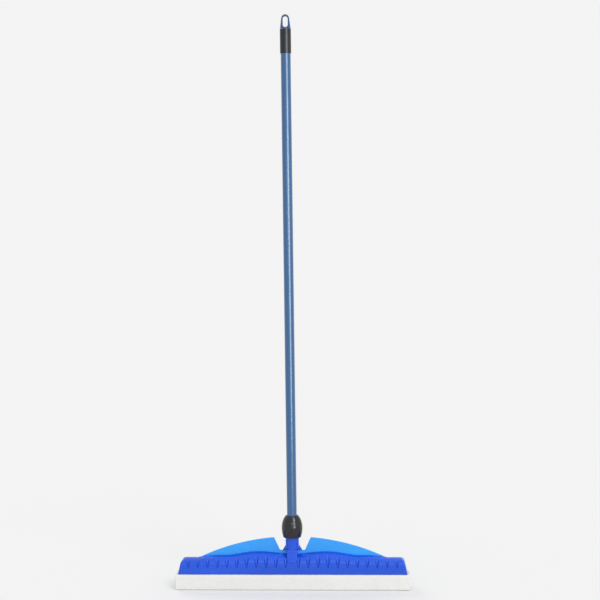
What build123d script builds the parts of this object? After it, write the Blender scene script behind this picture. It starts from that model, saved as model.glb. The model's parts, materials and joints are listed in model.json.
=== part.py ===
from build123d import *
import os

# Foam carpet broom: a wide foam strip clamped between two plastic halves, on a
# plastic-coated steel pole that a screw collar grips in the head's socket.
# Millimetres. X runs along the head, -Y is the front, +Z is up, and the origin is
# on the floor under the pole's axis, in the middle of the foam's flat underside.

os.makedirs("parts", exist_ok=True)

# ---- driving sizes ----
overall_height = 1320.0  # floor to the top of the hang loop
head_length = 532.0  # the two halves, along X at their bottom edge

foam_overhang = 6.5  # foam past the halves at each end
foam_drop = 36.0  # foam that shows below the halves
foam_depth = 48.0  # along Y
foam_edge = 2.0  # rounding of its upright edges

shell_depth = 40.0  # front skirt face to rear skirt face
skirt_height = 22.0  # upright part of each skirt
shell_end_height = 35.0  # halves' height at their two ends
end_slant = 8.0  # how far each end leans in over its height
end_corner = 14.0  # radius of the ends' upper corners
end_rounding = 3.0  # of the leaning edges between the ends and the skirts
parting_y = 4.0  # plane where the two halves meet
seat_gap = 0.1  # between pieces of the head that seat in each other

fin_thickness = 3.0  # upright arched plate behind the front half
fin_edge = 0.8  # rounding along its outline
fin_rise = 83.5  # top of the arch above the halves' bottom edge
fin_inset = 47.0  # foot of the arch, in from each end
rear_shoulder = 12.0  # height of the rear half's rounding
notch_over_boss = 25.7  # floor of the notch beside the socket, above the boss's lower end
notch_half_floor = 29.0  # half the notch's width at its floor
notch_half_mouth = 42.5  # half the notch's width at its mouth
notch_mouth = 81.0  # height of that mouth above the bottom edge
notch_radius = 3.0  # the notch's corners

# The front half's ridge, from the middle to just past the end: the place, as a share
# of the way to the end, and the ridge's height above the shoulder line there.
ridge = [
    (0, 20.5),
    (0.064, 21.5),
    (0.173, 24.8),
    (0.32, 26.6),
    (0.462, 21.9),
    (0.571, 18.0),
    (0.703, 17.2),
    (0.812, 14.2),
    (0.88, 13.2),
    (0.944, 13.0),
    (1.008, 13.0),
]

flutes_each_side = 11  # upright flutes in the front shoulder
flute_boss_gap = 2.8  # side of the socket's boss to the nearest flute's middle
flute_end_margin = 24.2  # last flute to the end
flute_top_radius = 8.2
flute_foot_radius = 1.9
flute_foot = 16.0  # flute's foot above the bottom edge
flute_top = 52.0  # above every ridge
flute_axis_in = 1.6  # flute's axis behind the skirt face

skirt_wall = 4.4  # plastic outside the edges of the steel channel that holds the foam
carrier_wall = 1.0  # that channel's sheet
carrier_top = 24.0  # above the halves' bottom edge
carrier_flange = 3.0  # each edge turned outward
carrier_flange_height = 8.0  # underside of the flanges above the bottom edge
carrier_end_gap = 14.5  # from the halves' ends to the channel's ends
rivet_radius = 1.6
rivet_head_radius = 3.2
rivet_head = 1.2
rivet_head_rounding = 0.7
rivets = 5
rivet_end_margin = 50.0  # channel end to the first rivet
rivet_height = 16.0  # above the halves' bottom edge

screw_radius = 1.75  # screws that join the two halves
screw_head_radius = 3.6
screw_head = 2.4
screw_length = 16.0  # under the head
screw_over_carrier = 5.5  # above the channel
screws_each_side = 3
screw_first = 50.0
screw_end_margin = 62.0
screw_seat = 5.0  # plastic under each head
screw_well_gap = 0.8  # around each head, in its well
screw_hole_gap = 0.25  # around the shank, in the rear half
screw_tip = 1.0  # chamfer
screw_head_rounding = 1.4
screw_recess = 0.95  # width of each arm of the cross in the head
screw_recess_depth = 1.4

pole_diameter = 22.0  # steel tube
pole_wall = 0.6
sheath_thickness = 0.35  # plastic coating
running_gap = 0.05  # radial, between pieces that move on each other

socket_wall = 4.2
boss_over_carrier = 2.0  # lower end of the socket's boss above the channel
boss_width = 24.0
boss_foot_width = 17.0
boss_foot_rounding = 5.1
boss_taper = 9.0  # height over which the boss narrows
boss_taper_rounding = 5.4
boss_proud = 1.4  # boss in front of the skirt face, at its foot
boss_edge = 2.0  # rounding round its front face
saddle_height = 5.2  # under the round socket, above the notches' floor
socket_floor = 4.0
rib_height = 12.2  # side ribs, above the notches' floor
rib_inset = 6.4  # ribs' outer ends to the ends of the notches' floor
rib_thickness = 6.0
saddle_back = 12.0  # the boss's rear end over the fin
socket_screw_radius = 2.0
socket_screw_head_radius = 4.0
socket_screw_length = 20.0
socket_screw_heights = (7.0, 19.5)  # above the boss's lower end

collar_rise = 27.0  # screw collar's lower edge above the round socket's underside
collar_height = 50.4
collar_widest = 20.5  # height of its widest place above its lower edge
collar_wall = 8.55  # there, outside the socket
collar_foot_wall = 5.35
collar_top_wall = 2.65  # outside its mouth
collar_lip = 5.5  # thickness of the inward lip at its top
collar_mouth_gap = 0.5  # lip to pole
collar_top_lean = 0.85  # how far its side leans in at the top, per unit of height
collar_foot_lean = 0.22  # and at its lower edge
collar_edge = 1.2

collet_height = 13.6
collet_top_wall = 1.9
collet_slit = 1.6
collet_slots = 6
collet_slot_depth = 8.8

grip_length = 54.5
grip_wall = 1.3
grip_edge = 0.8
foot_plug_flange = 2.5
foot_plug_depth = 15.0
cap_base = 5.0  # hang cap's tapering base
cap_plug_depth = 26.0
loop_top_width = 17.8  # hang loop, across its round top
loop_foot_width = 23.6  # and at its root
loop_wall = 4.2  # over the hole
loop_hole_height = 24.3
loop_hole_width = 11.6
loop_thickness = 7.5
loop_edge = 1.6
cap_base_depth = 9.5  # base's upper end, front to back

# ---- sizes that follow from them ----
head_half = head_length / 2
front_y = -shell_depth / 2
rear_y = shell_depth / 2
shell_bottom = foam_drop
shoulder_z = shell_bottom + skirt_height
shell_end_top = shell_bottom + shell_end_height
fin_back_y = parting_y + fin_thickness
channel_top = shell_bottom + carrier_top
channel_bottom = shell_bottom + carrier_flange_height
channel_half = head_half - carrier_end_gap
flange_y = rear_y - skirt_wall - seat_gap
channel_y = flange_y - carrier_flange
tongue_y = channel_y - carrier_wall
pocket_y = channel_y + rivet_head + 2 * seat_gap
screw_z = channel_top + screw_over_carrier
screw_step = (head_half - screw_end_margin - screw_first) / (screws_each_side - 1)
screw_points = [
    (side * (screw_first + screw_step * place), screw_z)
    for side in (-1, 1)
    for place in range(screws_each_side)
]
screw_seat_y = parting_y + screw_seat
boss_foot = channel_top + boss_over_carrier
notch_floor = boss_foot + notch_over_boss
socket_screw_points = [(0.0, boss_foot + height) for height in socket_screw_heights]
socket_screw_seat_y = fin_back_y
rivet_step = 2 * (channel_half - rivet_end_margin) / (rivets - 1)
rivet_points = [
    (rivet_step * (place - (rivets - 1) / 2), shell_bottom + rivet_height)
    for place in range(rivets)
]
flute_first = boss_width / 2 + flute_boss_gap
flute_step = (head_half - flute_end_margin - flute_first) / (flutes_each_side - 1)
flute_xs = [
    side * (flute_first + flute_step * place) for side in (-1, 1) for place in range(flutes_each_side)
]

tube_radius = pole_diameter / 2
tube_bore = tube_radius - pole_wall
pole_radius = tube_radius + sheath_thickness
socket_bore = pole_radius + running_gap
socket_radius = socket_bore + socket_wall
saddle_z = notch_floor + seat_gap
step_z = saddle_z + saddle_height
socket_floor_z = step_z + socket_floor
rib_half_span = notch_half_floor - rib_inset
collar_foot = step_z + collar_rise
collar_top = collar_foot + collar_height
collar_bore = socket_radius + running_gap
collar_mouth = pole_radius + collar_mouth_gap
collet_top = collar_top - collar_lip - running_gap
collet_foot = collet_top - collet_height
socket_top = collet_foot - running_gap
collet_top_radius = socket_bore + collet_top_wall
pole_foot = socket_floor_z
pole_top = overall_height - loop_wall - loop_hole_height - cap_base


def write(piece, name):
    """Label one finished piece and write it to its own file."""
    piece.part.label = name
    export_step(piece.part, f"parts/{name}.step")


# ---- shapes that both halves of the head share ----
with BuildPart() as pocket:
    # the space between the halves for the channel, its rivets and its flanges
    with BuildSketch(Plane.XY.offset(shell_bottom)):
        Rectangle(2 * (channel_half + seat_gap), 2 * pocket_y)
    extrude(amount=carrier_top + seat_gap)
    with BuildSketch(Plane.XY.offset(channel_bottom - seat_gap)):
        Rectangle(2 * (channel_half + seat_gap), 2 * (flange_y + seat_gap))
    extrude(amount=carrier_wall + 2 * seat_gap)

with BuildPart() as end_trim:
    # what is cut away to lean and round the two ends, in front view
    with BuildSketch(Plane.XZ):
        with BuildLine():
            lean = Line(
                (head_half, shell_bottom),
                (head_half - end_slant, shell_end_top + seat_gap),
            )
            Polyline(
                lean @ 1,
                (head_half - fin_inset, shell_end_top + seat_gap),
                (head_half - fin_inset, shell_end_top + end_corner),
                (head_half + end_corner, shell_end_top + end_corner),
                (head_half + end_corner, shell_bottom),
                lean @ 0,
            )
        make_face()
        corner = vertices().sort_by_distance((head_half - end_slant, shell_end_top + seat_gap))[0]
        fillet(corner, end_corner)
    extrude(amount=shell_depth, both=True)
    mirror(about=Plane.YZ)


def boss_outline(gap, top):
    """The socket boss's front view, grown by gap all round and cut off level at top."""
    half = boss_width / 2 + gap
    foot_half = boss_foot_width / 2 + gap
    foot = boss_foot - gap
    with BuildSketch(Plane.XZ) as outline:
        Polygon(
            (-half, top),
            (-half, foot + boss_taper),
            (-foot_half, foot),
            (foot_half, foot),
            (half, foot + boss_taper),
            (half, top),
            align=None,
        )
        fillet(vertices().group_by(Axis.Y)[0], boss_foot_rounding + gap)
        for side in (-1, 1):
            corner_at = (side * half, foot + boss_taper)
            fillet(vertices().sort_by_distance(corner_at)[0], boss_taper_rounding + gap)
    return outline.sketch


def leaning_edges(edges_of_half, face_y):
    """The leaning edges between a half's two end faces and its skirt's face at face_y."""
    straight = edges_of_half.filter_by(GeomType.LINE)
    on_face = straight.filter_by(lambda edge: abs(edge.center().Y - face_y) < seat_gap)
    return on_face.filter_by(lambda edge: edge.bounding_box().size.Z > skirt_height / 2)


# ---- front half: skirt, fluted shoulder and ridge ----
with BuildPart() as front_shell:
    for share, rise in ridge:
        with BuildSketch(Plane.YZ.offset(share * head_half)):
            with BuildLine():
                shoulder = EllipticalCenterArc(
                    (parting_y, shoulder_z), parting_y - front_y, rise, start_angle=90, arc_size=90
                )
                Polyline(
                    shoulder @ 1,
                    (front_y, shell_bottom),
                    (parting_y, shell_bottom),
                    shoulder @ 0,
                )
            make_face()
    loft()
    mirror(about=Plane.YZ)
    add(end_trim.part, mode=Mode.SUBTRACT)
    fillet(leaning_edges(edges(), front_y), end_rounding)
    add(pocket.part, mode=Mode.SUBTRACT)
    # flutes: tapered, upright, narrow at the foot
    for x in flute_xs:
        with BuildSketch(Plane.XY.offset(shell_bottom + flute_foot)):
            with Locations((x, front_y + flute_axis_in)):
                Circle(flute_foot_radius)
        with BuildSketch(Plane.XY.offset(shell_bottom + flute_top)):
            with Locations((x, front_y + flute_axis_in)):
                Circle(flute_top_radius)
        loft(mode=Mode.SUBTRACT)
    # seat for the socket's boss
    extrude(
        boss_outline(seat_gap, step_z),
        amount=shell_depth,
        both=True,
        mode=Mode.SUBTRACT,
    )
    # pilot holes for the screws
    with BuildSketch(Plane.XZ.offset(-parting_y)):
        with Locations(*screw_points):
            Circle(screw_radius)
    extrude(amount=screw_length - screw_seat, mode=Mode.SUBTRACT)

write(front_shell, "front_shell")

# ---- rear half: skirt, rounded shoulder and the upright arched fin ----
with BuildPart() as fin:
    # an arch with a notch on each side of the socket
    with BuildSketch(Plane.XZ.offset(-parting_y)):
        arch_foot = (head_half - fin_inset, shoulder_z + rear_shoulder)
        with BuildLine():
            arch = ThreePointArc(
                (-arch_foot[0], arch_foot[1]), (0, shell_bottom + fin_rise), arch_foot
            )
            Polyline(
                arch @ 1,
                (arch_foot[0], shoulder_z),
                (-arch_foot[0], shoulder_z),
                arch @ 0,
            )
        make_face()
        mouth_z = shell_bottom + notch_mouth
        lean_out = (notch_half_mouth - notch_half_floor) / (mouth_z - notch_floor)
        open_top = mouth_z + end_corner
        open_half = notch_half_mouth + lean_out * end_corner
        Polygon(
            (-notch_half_floor, notch_floor),
            (notch_half_floor, notch_floor),
            (open_half, open_top),
            (-open_half, open_top),
            align=None,
            mode=Mode.SUBTRACT,
        )
        for side in (-1, 1):
            floor_corner = (side * notch_half_floor, notch_floor)
            mouth_corner = (side * notch_half_mouth, mouth_z)
            for corner_at in (floor_corner, mouth_corner):
                fillet(vertices().sort_by_distance(corner_at)[0], notch_radius)
    extrude(amount=-fin_thickness)
    faces_of_fin = faces().filter_by(Axis.Y)
    outline_edges = faces_of_fin.edges().filter_by(lambda edge: edge.center().Z > arch_foot[1])
    fillet(outline_edges, fin_edge)

with BuildPart() as back_plate:
    with BuildSketch(Plane.YZ):
        with BuildLine():
            shoulder = EllipticalCenterArc(
                (fin_back_y, shoulder_z),
                rear_y - fin_back_y,
                rear_shoulder,
                start_angle=0,
                arc_size=90,
            )
            Polyline(
                shoulder @ 1,
                (parting_y, shoulder_z + rear_shoulder),
                (parting_y, shell_bottom),
                (rear_y, shell_bottom),
                shoulder @ 0,
            )
        make_face()
    extrude(amount=head_half, both=True)
    add(fin.part)
    add(end_trim.part, mode=Mode.SUBTRACT)
    fillet(leaning_edges(edges(), rear_y), end_rounding)
    add(pocket.part, mode=Mode.SUBTRACT)
    # clearance holes and wells for the screws' heads
    with BuildSketch(Plane.XZ.offset(-parting_y)):
        with Locations(*screw_points):
            Circle(screw_radius + screw_hole_gap)
        with Locations(*socket_screw_points):
            Circle(socket_screw_radius + screw_hole_gap)
    extrude(amount=-screw_seat, mode=Mode.SUBTRACT)
    with BuildSketch(Plane.XZ.offset(-screw_seat_y)):
        with Locations(*screw_points):
            Circle(screw_head_radius + screw_well_gap)
    extrude(amount=-shell_depth, mode=Mode.SUBTRACT)
    with BuildSketch(Plane.XZ.offset(-socket_screw_seat_y)):
        with Locations(*socket_screw_points):
            Circle(socket_screw_head_radius + screw_well_gap)
    extrude(amount=-shell_depth, mode=Mode.SUBTRACT)

write(back_plate, "back_plate")

# ---- foam strip: a deep foot under the halves and a tongue up inside the channel ----
with BuildPart() as foam_strip:
    with BuildSketch():
        RectangleRounded(head_length + 2 * foam_overhang, foam_depth, foam_edge)
    extrude(amount=foam_drop)
    with BuildSketch(Plane.XY.offset(foam_drop)):
        Rectangle(2 * channel_half, 2 * tongue_y)
    extrude(amount=carrier_top - carrier_wall)
    with BuildSketch(Plane.XZ):
        with Locations(*rivet_points):
            Circle(rivet_radius)
    extrude(amount=foam_depth, both=True, mode=Mode.SUBTRACT)

write(foam_strip, "foam_strip")

# ---- steel channel round the foam's tongue, with outward flanges the halves trap ----
with BuildPart() as foam_channel:
    with BuildSketch(Plane.YZ):
        with Locations((0, channel_top)):
            Rectangle(2 * channel_y, carrier_wall, align=(Align.CENTER, Align.MAX))
        for side in (-1, 1):
            with Locations((side * (channel_y - carrier_wall / 2), channel_bottom)):
                Rectangle(
                    carrier_wall,
                    carrier_top - carrier_flange_height,
                    align=(Align.CENTER, Align.MIN),
                )
            with Locations((side * (tongue_y + flange_y) / 2, channel_bottom)):
                Rectangle(
                    flange_y - tongue_y, carrier_wall, align=(Align.CENTER, Align.MIN)
                )
    extrude(amount=channel_half, both=True)
    with BuildSketch(Plane.XZ):
        with Locations(*rivet_points):
            Circle(rivet_radius)
    extrude(amount=foam_depth, both=True, mode=Mode.SUBTRACT)

write(foam_channel, "foam_channel")

with BuildPart() as foam_rivets:
    with BuildSketch(Plane.XZ):
        with Locations(*rivet_points):
            Circle(rivet_radius)
    extrude(amount=channel_y, both=True)
    for side in (-1, 1):
        with BuildSketch(Plane.XZ.offset(side * channel_y)):
            with Locations(*rivet_points):
                Circle(rivet_head_radius)
        extrude(amount=side * rivet_head)
    outer_rims = edges().filter_by(GeomType.CIRCLE).filter_by(
        lambda edge: abs(abs(edge.center().Y) - channel_y - rivet_head) < seat_gap
    )
    fillet(outer_rims, rivet_head_rounding)

write(foam_rivets, "foam_rivets")


def pan_screws(points, seat_y, shank_radius, head_radius, length):
    """Pan-head screws driven forward from seat_y, one at each (x, z) point."""
    with BuildPart() as screws:
        with BuildSketch(Plane.XZ.offset(-seat_y)):
            with Locations(*points):
                Circle(shank_radius)
        extrude(amount=length)
        chamfer(faces().group_by(Axis.Y)[0].edges(), screw_tip)
        with BuildSketch(Plane.XZ.offset(-seat_y)):
            with Locations(*points):
                Circle(head_radius)
        extrude(amount=-screw_head)
        fillet(faces().group_by(Axis.Y)[-1].edges(), screw_head_rounding)
        # cross recess
        with BuildSketch(Plane.XZ.offset(-seat_y - screw_head)):
            with Locations(*points):
                Rectangle(head_radius, screw_recess)
                Rectangle(screw_recess, head_radius)
        extrude(amount=screw_recess_depth, mode=Mode.SUBTRACT)
    return screws


shell_screws = pan_screws(screw_points, screw_seat_y, screw_radius, screw_head_radius, screw_length)
write(shell_screws, "shell_screws")

socket_screws = pan_screws(
    socket_screw_points,
    socket_screw_seat_y,
    socket_screw_radius,
    socket_screw_head_radius,
    socket_screw_length,
)
write(socket_screws, "socket_screws")

# ---- handle socket: boss on the front half, round socket above, ribs over the fin ----
with BuildPart() as handle_socket:
    extrude(boss_outline(0, step_z), amount=shell_depth, both=True)
    # the boss's side view: its front leans from the round socket out over the skirt
    with BuildSketch(Plane.YZ):
        Polygon(
            (front_y - boss_proud, boss_foot),
            (parting_y, boss_foot),
            (parting_y, saddle_z),
            (saddle_back, saddle_z),
            (saddle_back, step_z),
            (-socket_radius, step_z),
            align=None,
        )
    extrude(amount=boss_width, both=True, mode=Mode.INTERSECT)
    leaning_face = faces().filter_by(GeomType.PLANE).sort_by(Axis.Y)[0]
    fillet(leaning_face.edges().sort_by(Axis.Z)[:-1], boss_edge)

    with BuildSketch(Plane.XY.offset(step_z)):
        Circle(socket_radius)
    extrude(amount=socket_top - step_z)
    # side ribs that stand on the floor of the fin's notches
    rib_top = saddle_z + rib_height
    with BuildSketch(Plane.XZ.offset(-parting_y - fin_thickness / 2)):
        for side in (-1, 1):
            Polygon(
                (0, saddle_z),
                (side * rib_half_span, saddle_z),
                (side * socket_radius, rib_top),
                (0, rib_top),
                align=None,
            )
    extrude(amount=rib_thickness / 2, both=True)
    with BuildSketch(Plane.XY.offset(socket_floor_z)):
        Circle(socket_bore)
    extrude(amount=socket_top - socket_floor_z, mode=Mode.SUBTRACT)
    with BuildSketch(Plane.XZ.offset(-parting_y)):
        with Locations(*socket_screw_points):
            Circle(socket_screw_radius)
    extrude(amount=socket_screw_length - fin_thickness, mode=Mode.SUBTRACT)

write(handle_socket, "handle_socket")

# ---- collet: split tapered ring between the screw collar and the pole ----
with BuildPart() as collet:
    with BuildSketch(Plane.XZ):
        Polygon(
            (socket_bore, collet_foot),
            (socket_radius, collet_foot),
            (collet_top_radius, collet_top),
            (socket_bore, collet_top),
            align=None,
        )
    revolve(axis=Axis.Z)
    # one slit right through, and slots from the top that let the fingers bend
    with BuildSketch(Plane.XY.offset(collet_foot)):
        Rectangle(2 * socket_radius, collet_slit, align=(Align.MIN, Align.CENTER))
    extrude(amount=collet_height, mode=Mode.SUBTRACT)
    with BuildSketch(Plane.XY.offset(collet_top)):
        with PolarLocations(0, collet_slots):
            Rectangle(2 * socket_radius, collet_slit, align=(Align.MIN, Align.CENTER))
    extrude(amount=-collet_slot_depth, mode=Mode.SUBTRACT)

write(collet, "collet")

# ---- screw collar: egg-shaped nut, bored to run on the socket, coned over the collet ----
widest = (collar_bore + collar_wall, collar_foot + collar_widest)
with BuildPart() as collar_nut:
    with BuildSketch(Plane.XZ):
        with BuildLine():
            lower = Spline(
                (collar_bore + collar_foot_wall, collar_foot),
                widest,
                tangents=[(collar_foot_lean, 1), (0, 1)],
            )
            upper = Spline(
                widest,
                (collar_mouth + collar_top_wall, collar_top),
                tangents=[(0, 1), (-collar_top_lean, 1)],
            )
            Polyline(
                upper @ 1,
                (collar_mouth, collar_top),
                (collar_mouth, collar_top - collar_lip),
                (collet_top_radius + running_gap, collar_top - collar_lip),
                (collar_bore, collet_foot - running_gap),
                (collar_bore, collar_foot),
                lower @ 0,
            )
        make_face()
    revolve(axis=Axis.Z)
    fillet(edges().filter_by(GeomType.CIRCLE).group_by(SortBy.RADIUS)[-2:], collar_edge)

write(collar_nut, "collar_nut")

# ---- pole: coated steel tube with a plug in its foot, a grip and a hang cap ----
with BuildPart() as pole_tube:
    with BuildSketch(Plane.XY.offset(pole_foot + foot_plug_flange)):
        Circle(tube_radius)
        Circle(tube_bore, mode=Mode.SUBTRACT)
    extrude(amount=pole_top - pole_foot - foot_plug_flange)

write(pole_tube, "pole_tube")

with BuildPart() as pole_sheath:
    with BuildSketch(Plane.XY.offset(pole_foot + foot_plug_flange)):
        Circle(pole_radius)
        Circle(tube_radius, mode=Mode.SUBTRACT)
    extrude(amount=pole_top - pole_foot - foot_plug_flange)

write(pole_sheath, "pole_sheath")

with BuildPart() as foot_plug:
    with BuildSketch(Plane.XY.offset(pole_foot)):
        Circle(pole_radius)
    extrude(amount=foot_plug_flange)
    with BuildSketch(Plane.XY.offset(pole_foot + foot_plug_flange)):
        Circle(tube_bore)
    extrude(amount=foot_plug_depth)
    chamfer(edges().group_by(Axis.Z)[-1], pole_wall)

write(foot_plug, "foot_plug")

with BuildPart() as grip_sleeve:
    with BuildSketch(Plane.XY.offset(pole_top - grip_length)):
        Circle(pole_radius + grip_wall)
        Circle(pole_radius, mode=Mode.SUBTRACT)
    extrude(amount=grip_length)
    fillet(edges().group_by(Axis.Z)[0].sort_by(SortBy.RADIUS)[-1], grip_edge)

write(grip_sleeve, "grip_sleeve")

with BuildPart() as hang_loop:
    root_z = pole_top + cap_base / 2
    with BuildSketch(Plane.XZ):
        with BuildLine():
            CenterArc((0, overall_height - loop_top_width / 2), loop_top_width / 2, 0, 360)
            Line((-loop_foot_width / 2, root_z), (loop_foot_width / 2, root_z))
        make_hull()
        with Locations((0, overall_height - loop_wall - loop_hole_height / 2)):
            SlotOverall(loop_hole_height, loop_hole_width, rotation=90, mode=Mode.SUBTRACT)
    extrude(amount=loop_thickness / 2, both=True)
    sides = faces().sort_by(Axis.Y)
    fillet((sides[0].edges() + sides[-1].edges()).sort_by(Axis.Z)[2:], loop_edge)

with BuildPart() as hang_cap:
    # base that narrows from the grip to the loop
    with BuildSketch(Plane.XY.offset(pole_top)):
        Circle(pole_radius + grip_wall)
    with BuildSketch(Plane.XY.offset(pole_top + cap_base)):
        Ellipse(loop_foot_width / 2, cap_base_depth / 2)
    loft()
    add(hang_loop.part)
    # plug inside the tube
    with BuildSketch(Plane.XY.offset(pole_top)):
        Circle(tube_bore)
    extrude(amount=-cap_plug_depth)
    chamfer(edges().group_by(Axis.Z)[0], pole_wall)

write(hang_cap, "hang_cap")
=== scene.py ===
import json
from math import cos, pi, radians, sin

import bmesh
import bpy
from mathutils import Matrix, Vector, noise

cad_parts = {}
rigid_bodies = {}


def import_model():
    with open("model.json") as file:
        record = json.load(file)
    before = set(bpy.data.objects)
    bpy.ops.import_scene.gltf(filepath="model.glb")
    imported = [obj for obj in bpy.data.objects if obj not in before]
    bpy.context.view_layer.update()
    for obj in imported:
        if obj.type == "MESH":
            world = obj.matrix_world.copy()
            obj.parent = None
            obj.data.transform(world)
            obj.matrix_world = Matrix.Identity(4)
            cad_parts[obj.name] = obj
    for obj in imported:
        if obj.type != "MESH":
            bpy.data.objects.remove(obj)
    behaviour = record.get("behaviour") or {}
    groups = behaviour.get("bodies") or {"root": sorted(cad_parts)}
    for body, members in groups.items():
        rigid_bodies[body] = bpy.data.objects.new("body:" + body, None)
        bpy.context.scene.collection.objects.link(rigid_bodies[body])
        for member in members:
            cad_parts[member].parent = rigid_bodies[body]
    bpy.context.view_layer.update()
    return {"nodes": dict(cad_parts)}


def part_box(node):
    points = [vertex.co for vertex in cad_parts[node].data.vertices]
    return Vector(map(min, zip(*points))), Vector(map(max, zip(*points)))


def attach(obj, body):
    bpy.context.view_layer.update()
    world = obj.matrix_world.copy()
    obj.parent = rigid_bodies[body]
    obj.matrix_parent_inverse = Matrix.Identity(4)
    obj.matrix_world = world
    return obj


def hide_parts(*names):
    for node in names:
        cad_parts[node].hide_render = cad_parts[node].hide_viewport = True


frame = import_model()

nodes = frame["nodes"]
MM = 0.001

# ---- camera: the height, distance and small lean of the picture being matched ----
CAMERA_AZIMUTH = radians(3.7)  # to the right of straight in front
CAMERA_DISTANCE = 2.96  # from the pole's axis, level
CAMERA_HEIGHT = 0.84
CAMERA_PITCH = radians(3.28)  # looking down
CAMERA_AIM = radians(0.49)  # turned right of the pole
CAMERA_ROLL = radians(0.75)
CAMERA_LENS = 77.4  # mm
SENSOR_WIDTH = 36  # mm


def add_camera():
    """The main camera, at the picture's viewing angle."""
    toward = Vector((-sin(CAMERA_AZIMUTH), cos(CAMERA_AZIMUTH), 0))
    right = Vector((cos(CAMERA_AZIMUTH), sin(CAMERA_AZIMUTH), 0))
    level = toward * cos(CAMERA_AIM) + right * sin(CAMERA_AIM)
    side = right * cos(CAMERA_AIM) - toward * sin(CAMERA_AIM)
    ahead = level * cos(CAMERA_PITCH) - Vector((0, 0, 1)) * sin(CAMERA_PITCH)
    top = Vector((0, 0, 1)) * cos(CAMERA_PITCH) + level * sin(CAMERA_PITCH)
    rolled_side = side * cos(CAMERA_ROLL) - top * sin(CAMERA_ROLL)
    rolled_top = side * sin(CAMERA_ROLL) + top * cos(CAMERA_ROLL)

    data = bpy.data.cameras.new("camera")
    data.lens = CAMERA_LENS
    data.sensor_width = SENSOR_WIDTH
    camera = bpy.data.objects.new("camera", data)
    bpy.context.collection.objects.link(camera)
    turn = Matrix((rolled_side, rolled_top, -ahead)).transposed()
    place = -toward * CAMERA_DISTANCE + Vector((0, 0, CAMERA_HEIGHT))
    camera.matrix_world = Matrix.Translation(place) @ turn.to_4x4()
    bpy.context.scene.camera = camera


# ---- light and floor ----
SKY = 0.9  # brightness of the white surroundings
KEY_STRENGTH = 0.8
KEY_FROM = Vector((1.7, -2.2, 2.7)).normalized()
KEY_SPREAD = 26  # degrees across, for soft shadows
BACK_STRENGTH = 0.4
BACK_FROM = Vector((-1.8, 2.4, 2.2)).normalized()
FLOOR_LIGHT = (KEY_STRENGTH * KEY_FROM.z + BACK_STRENGTH * BACK_FROM.z) / pi
FLOOR_WHITE = SKY / (SKY + FLOOR_LIGHT)  # the lit floor is as bright as the surroundings
FLOOR_SIZE = 80  # metres across

# soft lamps: place, width and height in metres, and watts
STREAK_LAMP = ((1.25, -2.25, 1.05), 0.9, 1.9, 17)
SHOULDER_LAMP = ((0.25, -2.5, 0.98), 1.8, 0.16, 4)
GLOSS_LAMP = ((1.25, -2.25, 0.75), 0.9, 2.6, 110)
GLOSS_TINT = (0.72, 0.88, 1.0)
GLOSSY_NODES = ("pole_sheath", "collar_nut", "grip_sleeve")


def add_sun(name, source, strength, spread):
    """A soft light from the direction of source, even over the whole floor."""
    data = bpy.data.lights.new(name, "SUN")
    data.energy = strength
    data.angle = radians(spread)
    light = bpy.data.objects.new(name, data)
    bpy.context.collection.objects.link(light)
    light.rotation_euler = Vector(source).to_track_quat("Z", "Y").to_euler()


def add_softbox(name, place, width, height, watts, receivers):
    """A soft lamp facing the pole, which lights only the pieces in the receivers collection."""
    data = bpy.data.lights.new(name, "AREA")
    data.shape = "RECTANGLE"
    data.size = width
    data.size_y = height
    data.energy = watts
    light = bpy.data.objects.new(name, data)
    bpy.context.collection.objects.link(light)
    light.location = place
    light.rotation_euler = Vector((*place[:2], 0)).to_track_quat("Z", "Y").to_euler()
    light.light_linking.receiver_collection = receivers
    return light


def add_studio():
    """White surroundings, soft light from in front and behind, and a plain pale floor."""
    world = bpy.data.worlds.new("studio")
    world.use_nodes = True
    background = world.node_tree.nodes["Background"]
    background.inputs["Color"].default_value = (1, 1, 1, 1)
    background.inputs["Strength"].default_value = SKY
    bpy.context.scene.world = world
    bpy.context.scene.view_settings.view_transform = "Standard"

    lit = bpy.data.collections.new("object")
    for piece in bpy.context.scene.objects:
        if piece.type == "MESH":
            lit.objects.link(piece)
    glossy = bpy.data.collections.new("glossy pieces")
    for name in GLOSSY_NODES:
        glossy.objects.link(nodes[name])
    add_sun("key", KEY_FROM, KEY_STRENGTH, KEY_SPREAD)
    add_sun("back", BACK_FROM, BACK_STRENGTH, KEY_SPREAD)
    add_softbox("streak", *STREAK_LAMP, lit)
    add_softbox("shoulder_line", *SHOULDER_LAMP, lit)
    gloss = add_softbox("gloss", *GLOSS_LAMP, glossy)
    gloss.visible_diffuse = False  # only its reflection shows
    gloss.data.color = GLOSS_TINT

    bpy.ops.mesh.primitive_plane_add(size=FLOOR_SIZE, location=(0, 0, 0))
    floor = bpy.context.object
    floor.name = "floor"
    shade = Shade("studio_floor", roughness=1.0)
    shade.set("Base Color", (FLOOR_WHITE, FLOOR_WHITE, FLOOR_WHITE, 1))
    shade.set("Specular IOR Level", 0.0)
    floor.data.materials.append(shade.material)


# ---- materials ----
NOISE_RANGE = (0.3, 0.7)  # what noise gives nearly everywhere
SCRATCH_EDGE = (0.66, 0.7)  # noise above this is a scratch
SCRATCH_SHARE = 0.35  # how far a scratch pales the colour
SCRATCH_PALENESS = 0.05
SCRATCH_ROUGHNESS = 0.18


def colour(red, green, blue):
    """A display colour, 0 to 255 in each channel, as the linear colour a shader takes."""
    channels = [value / 255 for value in (red, green, blue)]
    linear = [c / 12.92 if c <= 0.04045 else ((c + 0.055) / 1.055) ** 2.4 for c in channels]
    return (*linear, 1)


def scaled(base, factor):
    """A colour made lighter or darker."""
    return (*[min(channel * factor, 1) for channel in base[:3]], 1)


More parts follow.
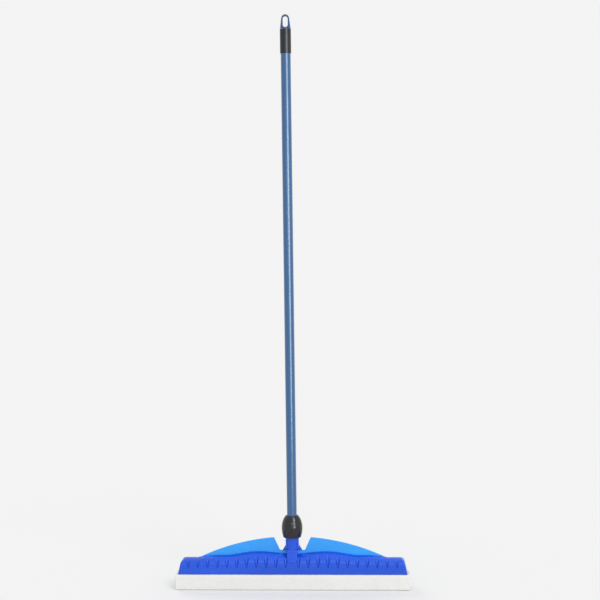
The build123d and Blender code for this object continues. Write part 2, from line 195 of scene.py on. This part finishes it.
class Shade:
    """One material: a Principled shader and short calls for the nodes that feed it."""

    def __init__(self, name, roughness=0.5, metallic=0.0):
        self.material = bpy.data.materials.new(name)
        self.material.use_nodes = True
        self.tree = self.material.node_tree
        self.shader = self.tree.nodes["Principled BSDF"]
        self.set("Roughness", roughness)
        self.set("Metallic", metallic)
        self.place = self.tree.nodes.new("ShaderNodeTexCoord").outputs["Object"]
        self.height = None

    def set(self, socket, value):
        self.shader.inputs[socket].default_value = value

    def node(self, kind, settings=(), **inputs):
        """A new node; an input is given a value, or another node's output."""
        made = self.tree.nodes.new(kind)
        for key, value in dict(settings).items():
            setattr(made, key, value)
        for key, value in inputs.items():
            self.feed(made.inputs[key.replace("_", " ")], value)
        return made

    def feed(self, socket, value):
        if isinstance(value, bpy.types.NodeSocket):
            self.tree.links.new(value, socket)
        else:
            socket.default_value = value

    def stretched(self, scale):
        """The object's own coordinates in metres, stretched along each axis."""
        return self.node("ShaderNodeMapping", Vector=self.place, Scale=scale).outputs["Vector"]

    def noise(self, scale, detail=3.0, where=None):
        """Cloudy noise; scale is in features per metre."""
        made = self.node(
            "ShaderNodeTexNoise", Vector=where or self.place, Scale=scale, Detail=detail
        )
        return made.outputs["Fac"]

    def cells(self, scale):
        """Round cells, 0 in the middle of each; scale is in cells per metre."""
        made = self.node("ShaderNodeTexVoronoi", Vector=self.place, Scale=scale)
        return made.outputs["Distance"]

    def remap(self, value, low, high, to_low, to_high):
        """A value between low and high, moved to between to_low and to_high and kept there."""
        ends = {"From_Min": low, "From_Max": high, "To_Min": to_low, "To_Max": to_high}
        return self.node("ShaderNodeMapRange", Value=value, **ends).outputs["Result"]

    def spread(self, cloudy, to_low, to_high):
        """Noise's usual range, moved to between to_low and to_high."""
        return self.remap(cloudy, *NOISE_RANGE, to_low, to_high)

    def blend(self, share, first, second):
        """First colour where share is 0, second where it is 1."""
        made = self.node("ShaderNodeMix", {"data_type": "RGBA"})
        self.feed(made.inputs[0], share)
        self.feed(made.inputs[6], first)
        self.feed(made.inputs[7], second)
        return made.outputs[2]

    def soften(self, weight, radius):
        """Lets light through to a depth of radius, in metres of red, green and blue."""
        self.set("Subsurface Weight", weight)
        self.set("Subsurface Radius", radius)
        self.set("Subsurface Scale", 1.0)

    def paint(self, value):
        self.feed(self.shader.inputs["Base Color"], value)

    def rough(self, value):
        self.feed(self.shader.inputs["Roughness"], value)

    def bump(self, height, depth, strength=1.0):
        """Adds relief depth metres deep, on top of any relief already there."""
        made = self.node("ShaderNodeBump", Height=height, Strength=strength, Distance=depth)
        if self.height is not None:
            self.tree.links.new(self.height, made.inputs["Normal"])
        self.height = made.outputs["Normal"]
        self.tree.links.new(self.height, self.shader.inputs["Normal"])


def dress(material, *names):
    """Gives each named CAD node this material in every slot."""
    for name in names:
        data = nodes[name].data
        if not data.materials:
            data.materials.append(material)
        for place in range(len(data.materials)):
            data.materials[place] = material


def hairlines(shade, *directions):
    """0 on clean surface, 1 on sparse hairline scratches that run along each direction."""
    total = None
    for direction in directions:
        lines = shade.noise(1.0, 2, shade.stretched(direction))
        lines = shade.remap(lines, *SCRATCH_EDGE, 0, 1)
        if total is None:
            total = lines
        else:
            total = shade.node("ShaderNodeMath", {"operation": "MAXIMUM"}, Value=total)
            shade.feed(total.inputs[1], lines)
            total = total.outputs[0]
    return total


def moulded_plastic(name, base, roughness, flow=(9, 9, 60), grain=0.00004):
    """Injection-moulded plastic: flow streaks, orange peel, rubbed patches and hairlines."""
    shade = Shade(name)
    streaks = shade.noise(1.0, 4, shade.stretched(flow))
    tone = shade.remap(streaks, 0.35, 0.65, 0, 1)
    tinted = shade.blend(tone, scaled(base, 0.92), scaled(base, 1.07))
    scratches = hairlines(shade, (14, 700, 700), (700, 700, 22))
    pale = (*[channel + SCRATCH_PALENESS for channel in base[:3]], 1)
    shade.paint(shade.blend(shade.remap(scratches, 0, 1, 0, SCRATCH_SHARE), tinted, pale))
    rubbed = shade.remap(shade.noise(38, 5), 0.35, 0.7, roughness - 0.05, roughness + 0.1)
    worn = shade.node("ShaderNodeMath", {"operation": "MULTIPLY_ADD"}, Value=scratches)
    worn.inputs[1].default_value = SCRATCH_ROUGHNESS
    shade.feed(worn.inputs[2], rubbed)
    shade.rough(worn.outputs[0])
    shade.bump(shade.noise(120, 2), grain * 5, 0.35)
    shade.bump(shade.noise(2600, 2), grain, 0.6)
    return shade


def dress_head():
    royal = moulded_plastic("royal_blue_plastic", colour(4, 74, 200), 0.24, flow=(5, 20, 30))
    dress(royal.material, "front_shell")
    socket = moulded_plastic("socket_blue_plastic", colour(4, 74, 204), 0.22, flow=(30, 30, 8))
    dress(socket.material, "handle_socket")

    azure = moulded_plastic("azure_plastic", colour(38, 150, 230), 0.3, flow=(4, 20, 16))
    azure.soften(0.1, (0.002, 0.004, 0.008))
    dress(azure.material, "back_plate")


def dress_steel(name, base, roughness, along, *names):
    """Drawn or rolled steel: fine lines along one direction and soft cloudy staining."""
    shade = Shade(name, metallic=1.0)
    lines = shade.noise(1.0, 3, shade.stretched(along))
    shade.paint(shade.blend(shade.spread(lines, 0, 1), scaled(base, 0.82), base))
    shade.rough(shade.spread(shade.noise(70, 4), roughness - 0.08, roughness + 0.1))
    shade.bump(lines, 0.00003, 0.5)
    dress(shade.material, *names)


def dress_fittings():
    collar = moulded_plastic("collar_black_plastic", colour(18, 19, 23), 0.14, flow=(40, 40, 12))
    dress(collar.material, "collar_nut")
    collet = moulded_plastic("collet_natural_nylon", colour(226, 225, 214), 0.5)
    collet.soften(0.2, (0.002, 0.002, 0.0015))
    dress(collet.material, "collet")
    zinc = (0.58, 0.59, 0.61, 1)
    plated = (0.62, 0.62, 0.63, 1)
    aluminium = (0.75, 0.75, 0.76, 1)
    steel = (0.55, 0.56, 0.58, 1)
    screws = ("shell_screws", "socket_screws")
    dress_steel("rolled_zinc_steel", zinc, 0.38, (6, 700, 700), "foam_channel")
    dress_steel("screw_steel", plated, 0.3, (900, 300, 900), *screws)
    dress_steel("rivet_aluminium", aluminium, 0.36, (600, 600, 600), "foam_rivets")
    dress_steel("drawn_tube_steel", steel, 0.34, (500, 500, 6), "pole_tube")


def dress_pole():
    sheath = Shade("pole_blue_film")
    film = colour(10, 78, 128)
    drawn = sheath.noise(1.0, 4, sheath.stretched((420, 420, 3)))
    sheath.paint(sheath.blend(sheath.spread(drawn, 0, 1), scaled(film, 0.9), scaled(film, 1.08)))
    sheath.rough(sheath.spread(sheath.noise(24, 5), 0.16, 0.26))
    sheath.set("Coat Weight", 0.8)
    sheath.set("Coat Roughness", 0.3)
    sheath.bump(drawn, 0.00003, 0.4)
    sheath.bump(sheath.noise(900, 2), 0.00002, 0.2)
    dress(sheath.material, "pole_sheath")

    grip = moulded_plastic("grip_black_plastic", colour(9, 10, 13), 0.3, flow=(60, 60, 14))
    dress(grip.material, "grip_sleeve")
    plug = moulded_plastic("plug_black_plastic", colour(40, 41, 44), 0.5)
    dress(plug.material, "foot_plug")
    cap = moulded_plastic("cap_blue_plastic", colour(40, 74, 116), 0.3, flow=(40, 40, 20))
    dress(cap.material, "hang_cap")


# ---- foam strip ----
FOAM_STEP = 0.8 * MM  # spacing of the points on its outside
FOAM_ROUNDING = 3.0 * MM
FOAM_CLEAR = 0.25 * MM  # kept inside the space that the CAD strip holds
TONGUE_SUNK = 3 * MM  # how far the tongue reaches down into the block
TONGUE_CUT = 0.01 * MM  # the CAD strip is cut this far above the block
WAVE_SCALE = 18  # features per metre
LUMP_SCALE = 140
CELL_SCALE = 560
FINE_CELL_SCALE = 1350
PORE_SHARE = 0.4  # of a cell, from its middle, that is open
WAVE_DEPTH = 0.4  # mm
LUMP_DEPTH = 0.15
PORE_DEPTH = 0.6
UNDERSIDE_SHARE = 0.3  # of the relief, on the face that rests on the floor
UNDERSIDE_SLOPE = -0.9  # a normal that points further down is on that face


def rounded_block(low, high, rounding, step):
    """Points and faces of a closed block with rounded edges, gridded every step."""
    counts = [max(2, round((high[axis] - low[axis]) / step)) for axis in range(3)]
    index, points, faces = {}, [], []

    def point(i, j, k):
        key = (i, j, k)
        if key not in index:
            raw, core = [], []
            for axis in range(3):
                span = high[axis] - low[axis]
                raw.append(low[axis] + span * key[axis] / counts[axis])
                core.append(min(max(raw[axis], low[axis] + rounding), high[axis] - rounding))
            out = Vector(raw) - Vector(core)
            if out.length > 0:
                out = out.normalized() * rounding
            index[key] = len(points)
            points.append(Vector(core) + out)
        return index[key]

    for axis in range(3):
        u, v = (axis + 1) % 3, (axis + 2) % 3
        for end in (0, counts[axis]):
            for i in range(counts[u]):
                for j in range(counts[v]):
                    corners = []
                    for di, dj in ((0, 0), (1, 0), (1, 1), (0, 1)):
                        key = [0, 0, 0]
                        key[axis], key[u], key[v] = end, i + di, j + dj
                        corners.append(point(*key))
                    faces.append(corners if end else corners[::-1])
    return points, faces


def foam_relief(place):
    """How far the cut foam's surface lies inside its outline, in metres, at one place."""
    wave = 0.5 + 0.5 * noise.noise(place * WAVE_SCALE)
    lumps = 0.5 + 0.5 * noise.noise(place * LUMP_SCALE)
    cells = noise.voronoi(place * CELL_SCALE)[0][0]
    pore = max(0.0, PORE_SHARE - cells) / PORE_SHARE
    return (WAVE_DEPTH * wave + LUMP_DEPTH * lumps + PORE_DEPTH * pore) * MM


def cut_block(low, high):
    """The foam's block, with a cut open-cell surface everywhere outside."""
    points, faces = rounded_block(low, high, FOAM_ROUNDING, FOAM_STEP)
    mesh = bpy.data.meshes.new("foam")
    mesh.from_pydata(points, [], faces)
    mesh.update()
    normals = [vertex.normal.copy() for vertex in mesh.vertices]
    for vertex, normal in zip(mesh.vertices, normals):
        depth = foam_relief(vertex.co)
        if normal.z < UNDERSIDE_SLOPE:
            vertex.co = vertex.co + Vector((0, 0, UNDERSIDE_SHARE * depth))
        else:
            vertex.co = vertex.co - normal * depth
    return mesh


def add_tongue(mesh, block_top):
    """Joins on the CAD strip's tongue, with its rivet holes, sunk a little into the block."""
    work = bmesh.new()
    work.from_mesh(nodes["foam_strip"].data)
    bmesh.ops.bisect_plane(
        work,
        geom=work.verts[:] + work.edges[:] + work.faces[:],
        plane_co=(0, 0, block_top + TONGUE_CUT),
        plane_no=(0, 0, 1),
        clear_inner=True,
    )
    bmesh.ops.remove_doubles(work, verts=work.verts[:], dist=0.001 * MM)
    open_edges = [edge for edge in work.edges if edge.is_boundary]
    bmesh.ops.holes_fill(work, edges=open_edges, sides=0)
    for vertex in work.verts:
        if vertex.co.z < block_top + 2 * TONGUE_CUT:
            vertex.co.z = block_top - TONGUE_SUNK
    work.from_mesh(mesh)
    work.to_mesh(mesh)
    work.free()


def add_foam():
    """The foam strip: a detailed block, and the tongue that the steel channel holds."""
    low, high = (Vector(corner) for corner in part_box("foam_strip"))
    block_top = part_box("front_shell")[0][2]
    inside = Vector((FOAM_CLEAR, FOAM_CLEAR, 0))
    mesh = cut_block(low + inside, Vector((high.x, high.y, block_top)) - inside)
    add_tongue(mesh, block_top)
    foam = bpy.data.objects.new("foam", mesh)
    bpy.context.collection.objects.link(foam)
    for polygon in mesh.polygons:
        polygon.use_smooth = True
    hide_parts("foam_strip")
    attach(foam, "head")

    shade = Shade("open_cell_foam", roughness=0.95)
    white = colour(221, 221, 219)
    coarse = shade.cells(CELL_SCALE)
    fine = shade.cells(FINE_CELL_SCALE)
    cloud = shade.spread(shade.noise(34, 4), 0, 0.4)
    tone = shade.blend(cloud, white, scaled(white, 0.93))
    # painted shade: the middle of each coarse and fine cell, where the pores sink in, is painted
    # darker to stand for the shade inside the open pores
    tone = shade.blend(shade.remap(coarse, 0.05, 0.3, 0.5, 0), tone, scaled(white, 0.6))
    shade.paint(shade.blend(shade.remap(fine, 0.05, 0.35, 0.45, 0), tone, scaled(white, 0.66)))
    shade.rough(shade.spread(shade.noise(300, 2), 0.88, 1.0))
    shade.bump(coarse, 0.0006, 0.5)
    shade.bump(fine, 0.0003, 0.6)
    shade.soften(0.2, (0.003, 0.003, 0.003))
    mesh.materials.clear()
    mesh.materials.append(shade.material)


dress_head()
dress_fittings()
dress_pole()
add_foam()
add_camera()
add_studio()
